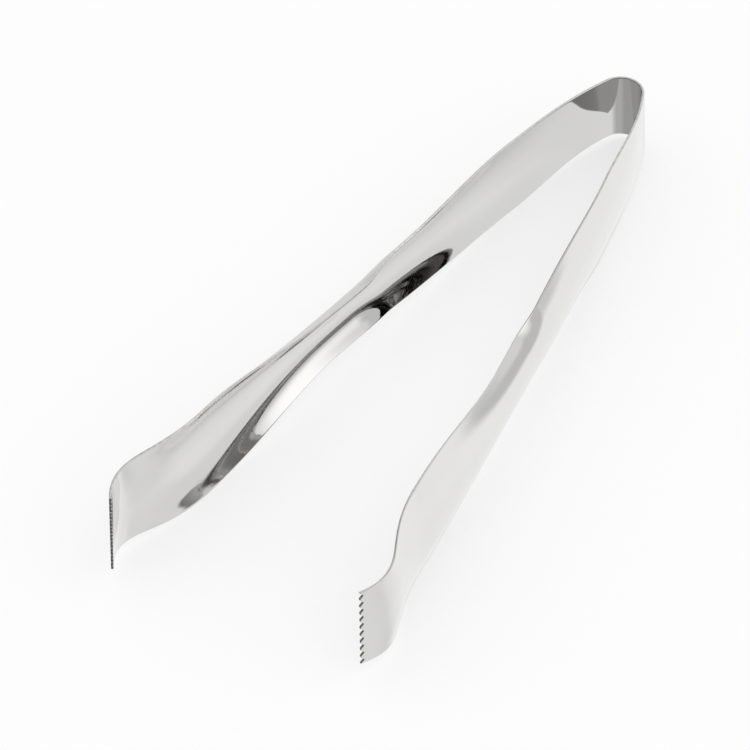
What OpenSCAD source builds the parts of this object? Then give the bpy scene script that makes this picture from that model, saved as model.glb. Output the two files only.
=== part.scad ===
// One-piece ice tongs: a strip of steel sheet bent into a spring bow, with two channelled arms
// and toothed jaws. It lies on its long edges: +Y runs to the bow, +X to the right arm, +Z up.
// The strip's middle line is followed from the crown of the bow to the tip of a jaw. A distance
// "along" is measured on that line, and a "heading" is 0 across the tongs and 90 down the arm.

/* [Sheet] */
// Thickness of the steel sheet
sheet_t = 0.6; // [0.5:0.05:1.2]

/* [Bow] */
// Radius of the crown, at the middle of the sheet
crown_r = 5.1; // [4:0.1:9]
// Angle that the crown turns through on each side of the centre plane
crown_turn = 64.2; // [52:0.2:72]
// Distance along the strip in which a shoulder does most of its straightening
shoulder_len = 13.3; // [8:0.1:18]
// Width of the strip round the bow
bow_w = 16.7; // [14:0.1:22]

/* [Arm outline] */
// Length of each arm and jaw together, along the strip
arm_len = 178.4; // [145:0.2:216]
// Heading of the arm beyond the shoulder
arm_heading = 78.2; // [76:0.1:80]
// Width of the strip where the hand holds it
handle_w = 20.4; // [16:0.1:26]
// Width of the strip at the waist
waist_w = 17; // [14:0.1:22]
// Width of the strip where the arm is widest
belly_w = 27; // [22:0.2:36]
// Width of the toothed end
tip_w = 21; // [16:0.1:26]

// Angle that the arm turns inward between the shoulder and the jaw
arm_bend = 5.7; // [2:0.1:7]

/* [Channel] */
// Tilt of the sheet's edges at the handle, in degrees
handle_tilt = 15; // [0:1:30]
// Tilt of the edges halfway down the arm's slope into the waist
throat_tilt = 38.6; // [20:0.2:60]
// Tilt of the edges at the waist, where the channel is deepest
waist_tilt = 60; // [30:0.5:80]
// Tilt of the edges at the belly
belly_tilt = 30; // [16:1:50]
// Share of the half width over which the sheet curls, beyond which it is straight
curl_share = 0.86; // [0.6:0.02:1]

/* [Jaw] */
// Length of the toothed jaw, from the end of the arm to the tip
jaw_len = 30.6; // [24:0.2:37]
// Angle that the neck of the jaw turns outward
jaw_flare = 8.6; // [0:0.2:14]
// Angle that the end of the jaw hooks inward
jaw_hook = 47.4; // [20:0.2:58]
// Number of notches in the toothed end
notches = 10; // [6:1:14]
// Depth of a notch
notch_depth = 0.9; // [0.5:0.1:1.2]
// Share of the pitch that a notch takes at its mouth
notch_share = 0.8; // [0.5:0.05:0.9]

/* [Hidden] */
$fn = 96;

steel = [0.78, 0.78, 0.77];
arm_step = 3;       // distance between the rings of an arm
jaw_step = 2;       // distance between the rings of a jaw
half_facets = 6;    // facets from the middle of the sheet to one edge
line_step = 0.5;    // distance between the points that follow the strip's middle line
over = 1;           // how far a cutter runs past what it cuts

// Distances along the strip from the crown. The hook's bend would ease out just past the tip.
seam_at = crown_r * crown_turn * PI / 180;
tip_at = seam_at + arm_len;
jaw_at = tip_at - jaw_len;
flare_at = tip_at - 0.55 * jaw_len;
hook_at = tip_at + 0.05 * jaw_len;
handle_at = seam_at + 0.18 * arm_len;
throat_at = seam_at + 0.42 * arm_len;
deepest_at = seam_at + 0.485 * arm_len;
waist_at = seam_at + 0.54 * arm_len;
belly_at = seam_at + 0.8 * arm_len;
shallow_at = seam_at + 0.81 * arm_len;

// Headings at which the arm stops turning for a moment, each [distance along, heading]
flared = arm_heading + arm_bend - jaw_flare;
arm_headings = [
    [seam_at, arm_heading],
    [seam_at + 0.25 * arm_len, arm_heading + 0.3 * arm_bend],
    [belly_at, arm_heading + arm_bend],
    [jaw_at, arm_heading + arm_bend],
    [flare_at, flared],
    [hook_at, flared + jaw_hook],
];

// Developed width of the strip: [distance along, width]
arm_widths = [
    [seam_at, bow_w],
    [handle_at, handle_w],
    [waist_at, waist_w],
    [belly_at, belly_w],
    [tip_at, tip_w],
];

// Tilt of the sheet at its edges: [distance along, degrees]
edge_tilts = [
    [seam_at, 0],
    [handle_at, handle_tilt],
    [throat_at, throat_tilt],
    [deepest_at, waist_tilt],
    [shallow_at, belly_tilt],
    [tip_at, 0],
];

function smooth(t) = let (u = min(max(t, 0), 1)) u * u * (3 - 2 * u);

// Value of a list of [distance, value] pairs at x, eased from each pair to the next
function eased(pairs, x, i = 0) =
    (i >= len(pairs) - 2 || x < pairs[i + 1][0])
        ? pairs[i][1] + (pairs[i + 1][1] - pairs[i][1])
            * smooth((x - pairs[i][0]) / (pairs[i + 1][0] - pairs[i][0]))
        : eased(pairs, x, i + 1);

// Heading of the strip at s, with the shoulder's turn dying away from the end of the crown
function heading(s) =
    eased(arm_headings, s) - (arm_heading - crown_turn) * exp((seam_at - s) / shoulder_len);

// Points of the right arm's middle line from the end of the crown, each [x, y]
line_count = round(arm_len / line_step);
line = [
    for (i = 0, x = crown_r * sin(crown_turn), y = crown_r * (cos(crown_turn) - 1);
        i <= line_count;
        h = heading(seam_at + (i + 0.5) * arm_len / line_count),
        x = x + cos(h) * arm_len / line_count,
        y = y - sin(h) * arm_len / line_count,
        i = i + 1)
    [x, y]
];

// Point [x, y] of the middle line at a distance along the strip
function line_point(s) =
    let (
        f = (s - seam_at) / arm_len * line_count,
        i = min(max(floor(f), 0), line_count - 1),
        t = f - i
    )
    line[i] * (1 - t) + line[i + 1] * t;

// Share of the edge's tilt that the sheet has at facet k, counted from its middle
function curl(k) = smooth(k / half_facets / curl_share);

// Half of the channel's section at s, from the middle to the edge, each [depth, height, tilt]
function half_section(s) =
    let (
        step = eased(arm_widths, s) / 2 / half_facets,
        edge = eased(edge_tilts, s)
    )
    [
        for (k = 0, depth = 0, height = 0; k <= half_facets;
            mid = edge * curl(k + 0.5),
            depth = depth + step * sin(mid),
            height = height + step * cos(mid),
            k = k + 1)
        [depth, height, edge * curl(k)]
    ];

// One face of the sheet at s: points from the lower edge to the upper, offset inward by off
function face_points(s, off) =
    let (
        p = line_point(s),
        h = heading(s),
        half = half_section(s)
    )
    [
        for (k = [-half_facets : half_facets])
        let (
            q = half[abs(k)],
            inward = q[0] + off * cos(q[2]),
            rise = sign(k) * (q[1] - off * sin(q[2]))
        )
        [p[0] - sin(h) * inward, p[1] - cos(h) * inward, rise]
    ];

// A ring round the sheet at s: the outer face upward, then the inner face downward
function ring(s) =
    let (inner = face_points(s, sheet_t / 2))
    concat(face_points(s, -sheet_t / 2), [for (i = [len(inner) - 1 : -1 : 0]) inner[i]]);

// The formed sheet between two distances along the strip
module sheet(from, to, step) {
    count = ceil((to - from) / step);
    rings = [for (i = [0 : count]) ring(from + (to - from) * i / count)];
    n = len(rings[0]);
    half = n / 2;
    polyhedron(
        points = [for (r = rings) each r],
        faces = concat(
            [for (i = [0 : half - 2]) [i, i + 1, n - 2 - i, n - 1 - i]],
            [for (i = [0 : half - 2])
                let (b = count * n) [b + n - 1 - i, b + n - 2 - i, b + i + 1, b + i]],
            [for (j = [0 : count - 1], i = [0 : n - 1], half_quad = [0, 1])
                let (a = j * n + i, b = j * n + (i + 1) % n)
                half_quad == 0 ? [a, a + n, b] : [b, a + n, b + n]]
        ),
        convexity = 8
    );
}

// Places of the whole: the origin is at the middle of the base of the tongs at rest
heights = [for (s = [seam_at : line_step : tip_at]) max([for (p = ring(s)) p[2]])];
half_height = max(heights);
tip_low = min([for (p = ring(tip_at)) p[1]]);
crown_y = (-tip_low - sheet_t / 2) / 2;

module placed() translate([0, crown_y, half_height]) children();

// The crown of the bow: the strip turned about one upright centre line
module spring_bow() color(steel) placed()
    translate([0, -crown_r, 0])
    rotate([0, 0, 90 - crown_turn])
    rotate_extrude(angle = 2 * crown_turn, $fn = 180)
    translate([crown_r - sheet_t / 2, -bow_w / 2]) square([sheet_t, bow_w]);

module right_arm() color(steel) placed() sheet(seam_at, jaw_at, arm_step);

// A notch through the sheet at the tip, with its mouth on the end face
module notch(pitch) {
    mouth = pitch * notch_share;
    slope = mouth / 2 / notch_depth;
    deep = notch_depth + over;
    rotate([90, 0, 90])
        linear_extrude(4 * sheet_t, center = true)
        polygon([[notch_depth, 0], [-over, deep * slope], [-over, -deep * slope]]);
}

module notch_row() {
    end = line_point(tip_at);
    pitch = tip_w / notches;
    translate([end[0], end[1], 0])
        rotate([0, 0, 90 - heading(tip_at)])
        for (i = [0 : notches - 1])
        translate([0, 0, (i + 0.5) * pitch - tip_w / 2])
        notch(pitch);
}

module right_jaw() color(steel) placed() difference() {
    sheet(jaw_at, tip_at, jaw_step);
    notch_row();
}

module left_arm() mirror([1, 0, 0]) right_arm();

module left_jaw() mirror([1, 0, 0]) right_jaw();

spring_bow();
left_arm();
right_arm();
left_jaw();
right_jaw();
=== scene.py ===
"""Looks of the one-piece ice tongs: a strip of polished steel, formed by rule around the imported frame."""

import math

import bpy
from mathutils import Matrix, Vector


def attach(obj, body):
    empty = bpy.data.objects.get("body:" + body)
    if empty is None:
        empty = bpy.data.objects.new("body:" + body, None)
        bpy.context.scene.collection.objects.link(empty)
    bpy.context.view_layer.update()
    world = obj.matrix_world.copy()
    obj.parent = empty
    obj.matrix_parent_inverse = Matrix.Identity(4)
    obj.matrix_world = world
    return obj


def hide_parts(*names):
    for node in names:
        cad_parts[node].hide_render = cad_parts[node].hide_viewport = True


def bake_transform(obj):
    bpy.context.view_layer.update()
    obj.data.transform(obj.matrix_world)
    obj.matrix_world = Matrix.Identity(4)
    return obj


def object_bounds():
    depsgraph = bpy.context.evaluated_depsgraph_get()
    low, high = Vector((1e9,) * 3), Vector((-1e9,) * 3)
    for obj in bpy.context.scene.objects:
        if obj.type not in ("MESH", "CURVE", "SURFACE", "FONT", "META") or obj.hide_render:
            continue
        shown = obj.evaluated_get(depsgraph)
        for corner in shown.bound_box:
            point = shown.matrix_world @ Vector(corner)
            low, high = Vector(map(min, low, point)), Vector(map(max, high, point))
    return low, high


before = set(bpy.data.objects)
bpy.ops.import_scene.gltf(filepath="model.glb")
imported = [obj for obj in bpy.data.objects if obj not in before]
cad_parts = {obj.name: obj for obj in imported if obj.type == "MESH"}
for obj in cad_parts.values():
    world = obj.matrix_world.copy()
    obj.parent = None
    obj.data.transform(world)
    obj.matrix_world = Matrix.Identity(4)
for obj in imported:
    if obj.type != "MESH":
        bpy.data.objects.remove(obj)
cad_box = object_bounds()

MM = 0.001

# The strip's own sizes, in millimetres and degrees, as the frame has them
STRIP = {
    "Sheet": 0.6,
    "Crown radius": 5.1,
    "Crown turn": 64.2,
    "Shoulder length": 13.3,
    "Arm length": 178.4,
    "Arm heading": 78.2,
    "Arm bend": 5.7,
    "Bow width": 16.7,
    "Handle width": 20.4,
    "Waist width": 17.0,
    "Belly width": 27.0,
    "Tip width": 21.0,
    "Handle tilt": 15.0,
    "Throat tilt": 38.6,
    "Waist tilt": 60.0,
    "Belly tilt": 30.0,
    "Curl share": 0.86,
    "Jaw length": 30.6,
    "Jaw flare": 8.6,
    "Jaw hook": 47.4,
    "Notch depth": 0.9,
    "Notch share": 0.8,
}
NOTCHES = 10
CELLS = 8 * NOTCHES      # cells across the strip, so that a notch's corners fall on them
ROUND_CELLS = 6          # cells that round the sheet over at each cut edge
CROWDED_ROWS = 6.0       # rows near each end over which the spacing grows to its full size
CROWDING = 0.9           # how much closer the end rows are than the others, 1 for no gap at all
NOTCH_REACH = 2.5        # distance from the tip over which the sheet draws back to the notches

END_ROUND = 0.15         # how far the toothed end is rounded over

# Where the lower edges of the bellies and handles rest, down from the crown, and how much higher
# the handles' edge is
BELLY_REST = 143.3
HANDLE_REST = 31.0
HANDLE_LIFT = 2.73

# Roughness of the steel: the polish itself, what haze and marks add, and what the cut edge adds
MIRROR = 0.035
HAZE = 0.04
SHEARED = 0.28
WORN = 0.1

FLOOR_SIZE = 3.0         # metres from the middle to each side
FLOOR_WHITE = 0.7        # share of the floor's look that is plain white

# The camera: how it is turned, where its aim is from the middle of the tongs, and how much it sees
AZIMUTH, ELEVATION, ROLL = 30.2, 42.22, -0.92
AIM_BACK, AIM_LEFT, AIM_DOWN = 81.5, 17.11, 11.96
SEEN_WIDTH = 0.16544
LENS, SENSOR = 815, 36

seam_along = STRIP["Crown radius"] * math.radians(STRIP["Crown turn"])
tip_along = seam_along + STRIP["Arm length"]
low, high = cad_box
mid_height = (low.z + high.z) / 2
crown_y = high.y - STRIP["Sheet"] * MM / 2


# ---- node trees ----

class Wire:
    """One socket of a node tree. Arithmetic on it adds Math nodes."""

    def __init__(self, tree, socket):
        self.tree, self.socket = tree, socket

    def math(self, operation, *values):
        return self.tree.add("ShaderNodeMath", *values, operation=operation)

    def __add__(self, other):
        return self.math("ADD", self, other)

    def __radd__(self, other):
        return self.math("ADD", other, self)

    def __sub__(self, other):
        return self.math("SUBTRACT", self, other)

    def __rsub__(self, other):
        return self.math("SUBTRACT", other, self)

    def __mul__(self, other):
        return self.math("MULTIPLY", self, other)

    def __rmul__(self, other):
        return self.math("MULTIPLY", other, self)

    def __truediv__(self, other):
        return self.math("DIVIDE", self, other)

    def __rtruediv__(self, other):
        return self.math("DIVIDE", other, self)

    def __pow__(self, other):
        return self.math("POWER", self, other)

    def sin(self):
        return self.math("SINE", self)

    def cos(self):
        return self.math("COSINE", self)

    def exp(self):
        return self.math("EXPONENT", self)

    def abs(self):
        return self.math("ABSOLUTE", self)

    def sign(self):
        return self.math("SIGN", self)

    def floor(self):
        return self.math("FLOOR", self)

    def least(self, other):
        return self.math("MINIMUM", self, other)

    def most(self, other):
        return self.math("MAXIMUM", self, other)

    def below(self, other):
        return self.math("LESS_THAN", self, other)

    def remainder(self, other):
        return self.math("MODULO", self, other)


class Tree:
    """Builds a node tree from a node's type, its settings, and the values or wires of its sockets."""

    def __init__(self, tree):
        self.tree = tree

    def add(self, kind, *values, out=None, **settings):
        node = self.tree.nodes.new(kind)
        named = settings.pop("named", {})
        for name, value in settings.items():
            setattr(node, name, value)
        sockets = [s for s in node.inputs if s.enabled]
        pairs = list(zip(sockets, values))
        pairs += [(next(s for s in sockets if s.name == name), v) for name, v in named.items()]
        for socket, value in pairs:
            self.feed(socket, value)
        outputs = [s for s in node.outputs if s.enabled]
        if not outputs:
            return node
        if isinstance(out, str):
            return Wire(self, next(s for s in outputs if s.name == out))
        return Wire(self, outputs[out or 0])

    def feed(self, socket, value):
        if value is None:
            return
        if isinstance(value, (list, tuple)) and value and isinstance(value[0], Wire):
            for wire in value:
                self.tree.links.new(wire.socket, socket)
        elif isinstance(value, Wire):
            self.tree.links.new(value.socket, socket)
        else:
            socket.default_value = value

    def step(self, value, start, end):
        """0 before start, 1 after end, and eased between them."""
        return self.add(
            "ShaderNodeMapRange", value, start, end, 0.0, 1.0, interpolation_type="SMOOTHSTEP"
        )

    def stations(self, along, pairs):
        """Value of [distance, value] pairs at a distance along, eased from each pair to the next."""
        total = pairs[0][1]
        for (x0, v0), (x1, v1) in zip(pairs, pairs[1:]):
            total = total + (v1 - v0) * self.step(along, x0, x1)
        return total


# ---- the formed strip ----

# Points and weights of a four-point rule for the area under a curve from 0 to 1
QUADRATURE = [(0.06943, 0.17393), (0.33001, 0.32607), (0.66999, 0.32607), (0.93057, 0.17393)]


def curl(share, curl_share):
    """Share of the edge's tilt that the sheet has at a share of its half width."""
    curled = (share / curl_share).least(1.0)
    return curled * curled * (3.0 - 2.0 * curled)


def strip_inputs(group):
    """The tree's named inputs, as wires by name."""
    for name, value in {**STRIP, "From": 0.0, "To": 1.0, "Rows": 100, "Side": 1.0}.items():
        kind = "NodeSocketInt" if name == "Rows" else "NodeSocketFloat"
        socket = group.interface.new_socket(name, in_out="INPUT", socket_type=kind)
        socket.default_value = value
    for name in ("Start round", "End round"):
        group.interface.new_socket(name, in_out="INPUT", socket_type="NodeSocketFloat")
    group.interface.new_socket("Material", in_out="INPUT", socket_type="NodeSocketMaterial")
    group.interface.new_socket("Geometry", in_out="OUTPUT", socket_type="NodeSocketGeometry")
    tree = Tree(group)
    node = group.nodes.new("NodeGroupInput")
    return tree, {s.name: Wire(tree, s) for s in node.outputs if s.name}


class FormedStrip:
    """The rule of the strip: where its middle line goes, how wide it is and how it is channelled."""

    def __init__(self, tree, size):
        self.tree, self.size = tree, size
        arm, jaw = size["Arm length"], size["Jaw length"]
        self.seam = size["Crown radius"] * size["Crown turn"] * math.radians(1)
        self.tip = self.seam + arm
        self.handle = self.seam + 0.18 * arm
        self.throat = self.seam + 0.42 * arm
        self.deepest = self.seam + 0.485 * arm
        self.waist = self.seam + 0.54 * arm
        self.belly = self.seam + 0.8 * arm
        self.shallow = self.seam + 0.81 * arm
        self.jaw = self.tip - jaw
        self.flare = self.tip - 0.55 * jaw
        self.hook = self.tip + 0.05 * jaw

    def heading(self, along):
        """Angle from across the tongs, in radians."""
        size = self.size
        start, bent = size["Arm heading"], size["Arm heading"] + size["Arm bend"]
        flared = bent - size["Jaw flare"]
        arm = self.tree.stations(along, [
            (self.seam, start),
            (self.seam + 0.25 * size["Arm length"], start + 0.3 * size["Arm bend"]),
            (self.belly, bent),
            (self.jaw, bent),
            (self.flare, flared),
            (self.hook, flared + size["Jaw hook"]),
        ])
        beyond = (along - self.seam).most(0.0)
        fading = (0.0 - beyond / size["Shoulder length"]).exp()
        arm = arm - (start - size["Crown turn"]) * fading
        crown = along / size["Crown radius"]
        on_crown = along.below(self.seam)
        return on_crown * crown + (1.0 - on_crown) * arm * math.radians(1)

    def half_width(self, along):
        size = self.size
        return 0.5 * self.tree.stations(along, [
            (self.seam, size["Bow width"]),
            (self.handle, size["Handle width"]),
            (self.waist, size["Waist width"]),
            (self.belly, size["Belly width"]),
            (self.tip, size["Tip width"]),
        ])

    def edge_tilt(self, along):
        """How far the strip's long edges are curled inward, in radians."""
        size = self.size
        return math.radians(1) * self.tree.stations(along, [
            (self.seam, 0.0),
            (self.handle, size["Handle tilt"]),
            (self.throat, size["Throat tilt"]),
            (self.deepest, size["Waist tilt"]),
            (self.shallow, size["Belly tilt"]),
            (self.tip, 0.0),
        ])

    def section(self, share, half_width, tilt):
        """Depth and height of the channel at a share of the half width, by adding up its slope."""
        depth = height = 0.0
        for at, weight in QUADRATURE:
            slope = tilt * curl(share * at, self.size["Curl share"])
            depth = depth + weight * slope.sin()
            height = height + weight * slope.cos()
        return depth * share * half_width, height * share * half_width

    def notch(self, across):
        """How far the toothed end is cut back at a distance across the strip."""
        size = self.size
        pitch = size["Tip width"] / float(NOTCHES)
        from_middle = ((across + size["Tip width"]).remainder(pitch) - pitch * 0.5).abs()
        mouth = pitch * size["Notch share"] * 0.5
        return size["Notch depth"] * (1.0 - from_middle / mouth).most(0.0)


def rounding(cell):
    """Distance in from a cut edge and share of the half thickness, for a cell from 0 to ROUND_CELLS."""
    turn = cell * (math.pi / 2 / ROUND_CELLS)
    return 1.0 - turn.cos().most(0.0) ** 0.5, turn.sin().most(0.0) ** 0.5


def rows_along(size, row, last):
    """Distance along the strip at a row: rounding cells at both ends, and rows that crowd towards them."""
    even = size["Rows"] - 1.0
    spacing = (size["To"] - size["From"] - size["Start round"] - size["End round"]) / even
    place = (row - float(ROUND_CELLS)).most(0.0).least(even)
    from_start = place * (0.0 - place / CROWDED_ROWS).exp()
    from_end = (even - place) * ((place - even) / CROWDED_ROWS).exp()
    crowd = CROWDING * (from_end - from_start)
    start_inset, _ = rounding(row.least(float(ROUND_CELLS)).most(0.0))
    end_inset, _ = rounding((last - row).least(float(ROUND_CELLS)).most(0.0))
    return (size["From"] + size["Start round"] * start_inset + spacing * (place + crowd)
            + size["End round"] * (1.0 - end_inset))


def strip_tree():
    """A node tree that forms one length of the strip as a closed sheet with rounded cut edges."""
    group = bpy.data.node_groups.new("formed_strip", "GeometryNodeTree")
    tree, size = strip_inputs(group)
    rule = FormedStrip(tree, size)

    columns = CELLS - 1 + 2 * ROUND_CELLS
    last = size["Rows"] + float(2 * ROUND_CELLS - 1)
    grid = tree.add("GeometryNodeMeshGrid", 1.0, 1.0, last + 1.0, columns, out="Mesh")
    index = tree.add("GeometryNodeInputIndex")
    row = ((index + 0.5) / float(columns)).floor()
    column = index - row * float(columns)

    from_edge = column.least(columns - 1.0 - column)
    inset, thickness = rounding(from_edge.least(float(ROUND_CELLS)))
    side = (column - (columns - 1) / 2).sign()
    cells_in = inset + (from_edge - float(ROUND_CELLS)).most(0.0)
    share = (1.0 - cells_in / (CELLS / 2)).most(0.0)

    along = rows_along(size, row, last)
    step = rows_along(size, row + 1.0, last) - along
    turned = rule.heading(along + 0.5 * step)
    start_turn = size["From"] / size["Crown radius"]
    line_x = size["Crown radius"] * start_turn.sin() + tree.add(
        "GeometryNodeAccumulateField", step * turned.cos(), column, out="Trailing")
    line_y = size["Crown radius"] * (1.0 - start_turn.cos()) + tree.add(
        "GeometryNodeAccumulateField", step * turned.sin(), column, out="Trailing")

    heading = rule.heading(along)
    half_width = rule.half_width(along)
    tilt = rule.edge_tilt(along)
    depth, height = rule.section(share, half_width, tilt)
    lean = tilt * curl(share, size["Curl share"])
    across = side * share * half_width

    slide = tree.step(along, rule.tip - NOTCH_REACH, rule.tip) * rule.notch(across)
    line_x = line_x - slide * heading.cos()
    line_y = line_y - slide * heading.sin()

    for count in (row, last - row):
        thickness = thickness * rounding(count.least(float(ROUND_CELLS)))[1]
    half_sheet = 0.5 * size["Sheet"] * thickness
    corner = (1.0 - (row - float(ROUND_CELLS)).abs().most(size["Start round"]).least(1.0)).most(
        1.0 - (last - row - float(ROUND_CELLS)).abs().most(size["End round"]).least(1.0))
    stored = (("along", along), ("across", across), ("cut", 1.0 - thickness), ("corner", corner))
    for name, value in stored:
        grid = tree.add("GeometryNodeStoreNamedAttribute", grid, None, name, value)
    faces = []
    for face in (-1.0, 1.0):
        inward = depth + face * half_sheet * lean.cos()
        rise = side * (height - face * half_sheet * lean.sin())
        x = (line_x - heading.sin() * inward) * size["Side"]
        y = 0.0 - line_y - heading.cos() * inward
        place = tree.add("ShaderNodeCombineXYZ", x * MM, y * MM + crown_y, rise * MM + mid_height)
        moved = tree.add("GeometryNodeSetPosition", grid, None, place)
        faces.append(tree.add("GeometryNodeFlipFaces", moved) if face < 0 else moved)

    return group, tree, tree.add("GeometryNodeJoinGeometry", faces), size


def finish_strip_tree(tree, sheet, size):
    """Stitches the two faces of the sheet, turns a left-hand one the right way out and shades it."""
    mirrored = tree.add("FunctionNodeCompare", size["Side"], 0.0, operation="LESS_THAN")
    sheet = tree.add("GeometryNodeFlipFaces", sheet, mirrored)
    sheet = tree.add("GeometryNodeMergeByDistance", sheet, None, 1e-7)
    sheet = tree.add("GeometryNodeSetShadeSmooth", sheet, None, True, domain="FACE")
    corner = tree.add("GeometryNodeInputNamedAttribute", "corner", data_type="FLOAT")
    is_corner = tree.add("FunctionNodeCompare", corner, 0.99, operation="GREATER_THAN")
    sheet = tree.add("GeometryNodeSetShadeSmooth", sheet, is_corner, False, domain="EDGE")
    sheet = tree.add("GeometryNodeRealizeInstances", sheet)
    sheet = tree.add("GeometryNodeSetMaterial", sheet, None, size["Material"])
    tree.add("NodeGroupOutput", sheet)


def formed(name, group, material, **values):
    """One length of the strip as a plain mesh object at the origin."""
    base = bpy.data.objects.new(name + "_base", bpy.data.meshes.new(name + "_base"))
    bpy.context.collection.objects.link(base)
    modifier = base.modifiers.new("formed_strip", "NODES")
    modifier.node_group = group
    for item in group.interface.items_tree:
        if item.in_out == "INPUT" and item.name in values:
            modifier[item.identifier] = values[item.name]
        if item.in_out == "INPUT" and item.name == "Material":
            modifier[item.identifier] = material
    evaluated = base.evaluated_get(bpy.context.evaluated_depsgraph_get())
    mesh = bpy.data.meshes.new_from_object(evaluated)
    bpy.data.objects.remove(base)
    mesh.name = name
    piece = bpy.data.objects.new(name, mesh)
    bpy.context.collection.objects.link(piece)
    return piece


# ---- finish ----

def polished_steel():
    """Mirror-polished stainless sheet: lengthwise marks, faint haze, and duller, worn cut edges."""
    material = bpy.data.materials.new("polished_steel")
    material.use_nodes = True
    material.node_tree.nodes.clear()
    tree = Tree(material.node_tree)
    place = tree.add("ShaderNodeTexCoord", out="Object")
    along = tree.add("ShaderNodeAttribute", attribute_name="along", out="Fac")
    across = tree.add("ShaderNodeAttribute", attribute_name="across", out="Fac")
    cut = tree.add("ShaderNodeAttribute", attribute_name="cut", out="Fac")
    run = tree.add("ShaderNodeCombineXYZ", along * 0.05, across * 3.0, 0.0)
    marks = tree.add("ShaderNodeTexNoise", run, out="Fac", named={
        "Scale": 2.0, "Detail": 6.0, "Roughness": 0.6})
    clouds = tree.add("ShaderNodeTexNoise", place, named={"Scale": 60.0, "Detail": 3.0}, out="Fac")
    grit = tree.add("ShaderNodeTexNoise", place, named={"Scale": 900.0, "Detail": 2.0}, out="Fac")
    sheared = tree.step(cut, 0.05, 0.5)
    worn = sheared * tree.step(grit, 0.35, 0.7)
    clean = tree.add("ShaderNodeMix", clouds, data_type="RGBA", named={
        "A": (0.80, 0.792, 0.782, 1), "B": (0.85, 0.846, 0.84, 1)}, out="Result")
    colour = tree.add("ShaderNodeMix", worn, data_type="RGBA", named={
        "A": clean, "B": (0.70, 0.69, 0.675, 1)}, out="Result")
    roughness = MIRROR + HAZE * clouds * marks + SHEARED * sheared + WORN * worn
    bump = tree.add("ShaderNodeBump", named={"Strength": 0.02, "Distance": 0.00005, "Height": marks})
    shader = tree.add("ShaderNodeBsdfPrincipled", named={
        "Base Color": colour, "Metallic": 1.0, "Roughness": roughness, "Normal": bump})
    tree.add("ShaderNodeOutputMaterial", shader)
    return material


# ---- the tongs ----

def add_tongs():
    """The bow, riding on the frame's bow body, and the two arms, which stand in for the frame's arm and jaw
    parts.
    """
    group, tree, sheet, size = strip_tree()
    finish_strip_tree(tree, sheet, size)
    steel = polished_steel()
    bow = formed("bow_sheet", group, steel, From=-seam_along, To=seam_along, Rows=73)
    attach(bow, "bow")
    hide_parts("spring_bow")
    for side, name in ((-1.0, "left"), (1.0, "right")):
        arm = formed(f"{name}_arm_sheet", group, steel, From=seam_along, To=tip_along, Rows=330,
                     Side=side, **{"End round": END_ROUND})
        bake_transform(arm)
        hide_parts(f"{name}_arm", f"{name}_jaw")


# ---- studio ----

# Soft panels that the steel mirrors: bearing, height, reach and soft edge in degrees, and brightness.
# Each one covers those above it.
PANELS = [
    ("back_sweep", 43, 18, 21, 4, 0.59),
    ("ceiling", 15, 42, 15, 13, 1.21),
    ("floor_glow", 72, -25, 34, 7, 0.94),
    ("side_wall", 238, 13, 80, 30, 0.12),
    ("front_floor", 301, -75, 50, 5, 0.37),
    ("room_in_front", 282, 40, 18, 4, 0.0),
    ("right_floor", 1, -61, 28, 26, 0.81),
    ("left_floor", 169, -49, 27, 11, 0.22),
    ("near_side", 320, -1, 34, 15, 0.02),
]
SWEEP_BRIGHTNESS = 0.76


def direction(bearing, height):
    """Unit vector towards a bearing from +X and a height over the horizon, both in degrees."""
    bearing, height = math.radians(bearing), math.radians(height)
    return (math.cos(bearing) * math.cos(height), math.sin(bearing) * math.cos(height), math.sin(height))


def mirrored_studio(tree):
    """Brightness of the studio that polished steel mirrors, in every direction."""
    look = tree.add("ShaderNodeTexCoord", out="Generated")
    look = tree.add("ShaderNodeVectorMath", look, operation="NORMALIZE", out="Vector")
    brightness = SWEEP_BRIGHTNESS
    for _, bearing, height, reach, edge, level in PANELS:
        nearness = tree.add("ShaderNodeVectorMath", look, direction(bearing, height),
                            operation="DOT_PRODUCT", out="Value")
        outer, inner = (math.cos(math.radians(reach + side * edge)) for side in (1, -1))
        cover = tree.step(nearness, outer, inner)
        brightness = brightness + cover * (level - brightness)
    return brightness


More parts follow.
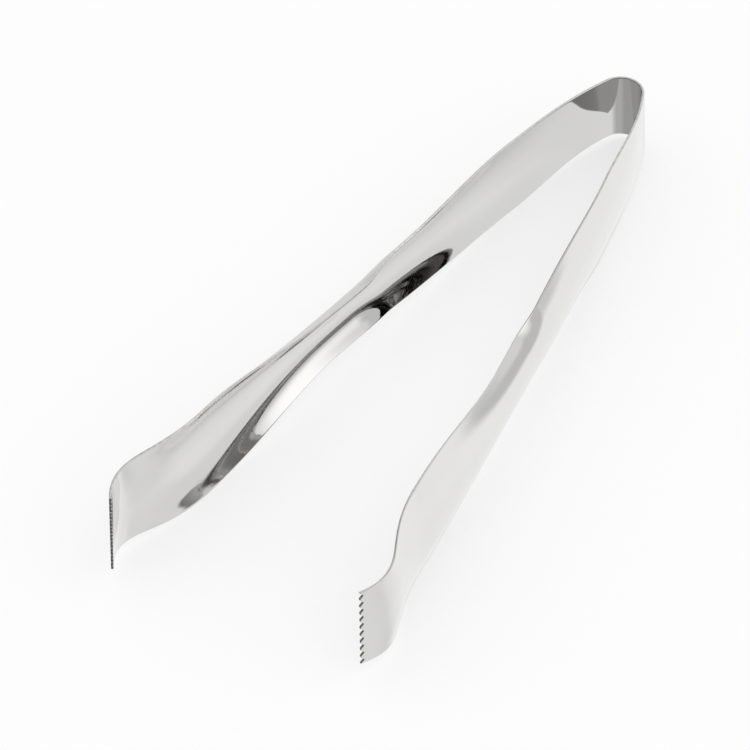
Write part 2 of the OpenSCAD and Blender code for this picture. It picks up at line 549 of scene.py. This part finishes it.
def add_floor():
    """A pale floor that the lower edges of the handles and bellies rest on."""
    slope = HANDLE_LIFT / (BELLY_REST - HANDLE_REST)
    belly_y = crown_y - BELLY_REST * MM
    corners = [(FLOOR_SIZE * x, FLOOR_SIZE * y) for x, y in ((-1, -1), (1, -1), (1, 1), (-1, 1))]
    verts = [(x, y, slope * (y - belly_y)) for x, y in corners]
    mesh = bpy.data.meshes.new("floor")
    mesh.from_pydata(verts, [], [(0, 1, 2, 3)])
    floor = bpy.data.objects.new("floor", mesh)
    bpy.context.collection.objects.link(floor)
    material = bpy.data.materials.new("floor")
    material.use_nodes = True
    material.node_tree.nodes.clear()
    tree = Tree(material.node_tree)
    seen = tree.add("ShaderNodeLightPath", out="Is Camera Ray")
    mirrored = tree.add("ShaderNodeLightPath", out="Is Glossy Ray")
    paper = tree.add("ShaderNodeBsdfDiffuse", (0.95, 0.95, 0.95, 1))
    white = tree.add("ShaderNodeEmission", (1, 1, 1, 1), 1.0)
    lit = tree.add("ShaderNodeMixShader", seen * FLOOR_WHITE, paper, white)
    clear = tree.add("ShaderNodeBsdfTransparent")
    tree.add("ShaderNodeOutputMaterial", tree.add("ShaderNodeMixShader", mirrored, lit, clear))
    floor.data.materials.append(material)


def add_world():
    """Even white light, with the studio's panels where the steel mirrors them."""
    world = bpy.data.worlds.new("studio")
    bpy.context.scene.world = world
    world.use_nodes = True
    world.node_tree.nodes.clear()
    tree = Tree(world.node_tree)
    mirrored = tree.add("ShaderNodeLightPath", out="Is Glossy Ray")
    even = tree.add("ShaderNodeBackground", (1, 1, 1, 1), 1.0)
    panels = tree.add("ShaderNodeBackground", (1, 1, 1, 1), mirrored_studio(tree))
    tree.add("ShaderNodeOutputWorld", tree.add("ShaderNodeMixShader", mirrored, even, panels))


def add_camera():
    """A long lens, turned and aimed to show the tongs lying with their jaws to the lower left."""
    azimuth, elevation, roll = (math.radians(a) for a in (AZIMUTH, ELEVATION, ROLL))
    right = Vector((math.cos(azimuth), math.sin(azimuth), 0))
    back = Vector((math.sin(azimuth) * math.cos(elevation), -math.cos(azimuth) * math.cos(elevation),
                   math.sin(elevation)))
    up = back.cross(right)
    across = right * math.cos(roll) + up * math.sin(roll)
    upward = up * math.cos(roll) - right * math.sin(roll)
    aim = Vector((0, crown_y - AIM_BACK * MM, mid_height)) - across * AIM_LEFT * MM - upward * AIM_DOWN * MM
    data = bpy.data.cameras.new("camera")
    data.lens, data.sensor_width = LENS, SENSOR
    distance = SEEN_WIDTH * data.lens / data.sensor_width
    camera = bpy.data.objects.new("camera", data)
    bpy.context.collection.objects.link(camera)
    turn = Matrix((across, upward, back)).transposed().to_4x4()
    camera.matrix_world = Matrix.Translation(aim + back * distance) @ turn
    bpy.context.scene.camera = camera


def main():
    add_tongs()
    add_floor()
    add_world()
    add_camera()
    bpy.context.scene.view_settings.view_transform = "Standard"


main()
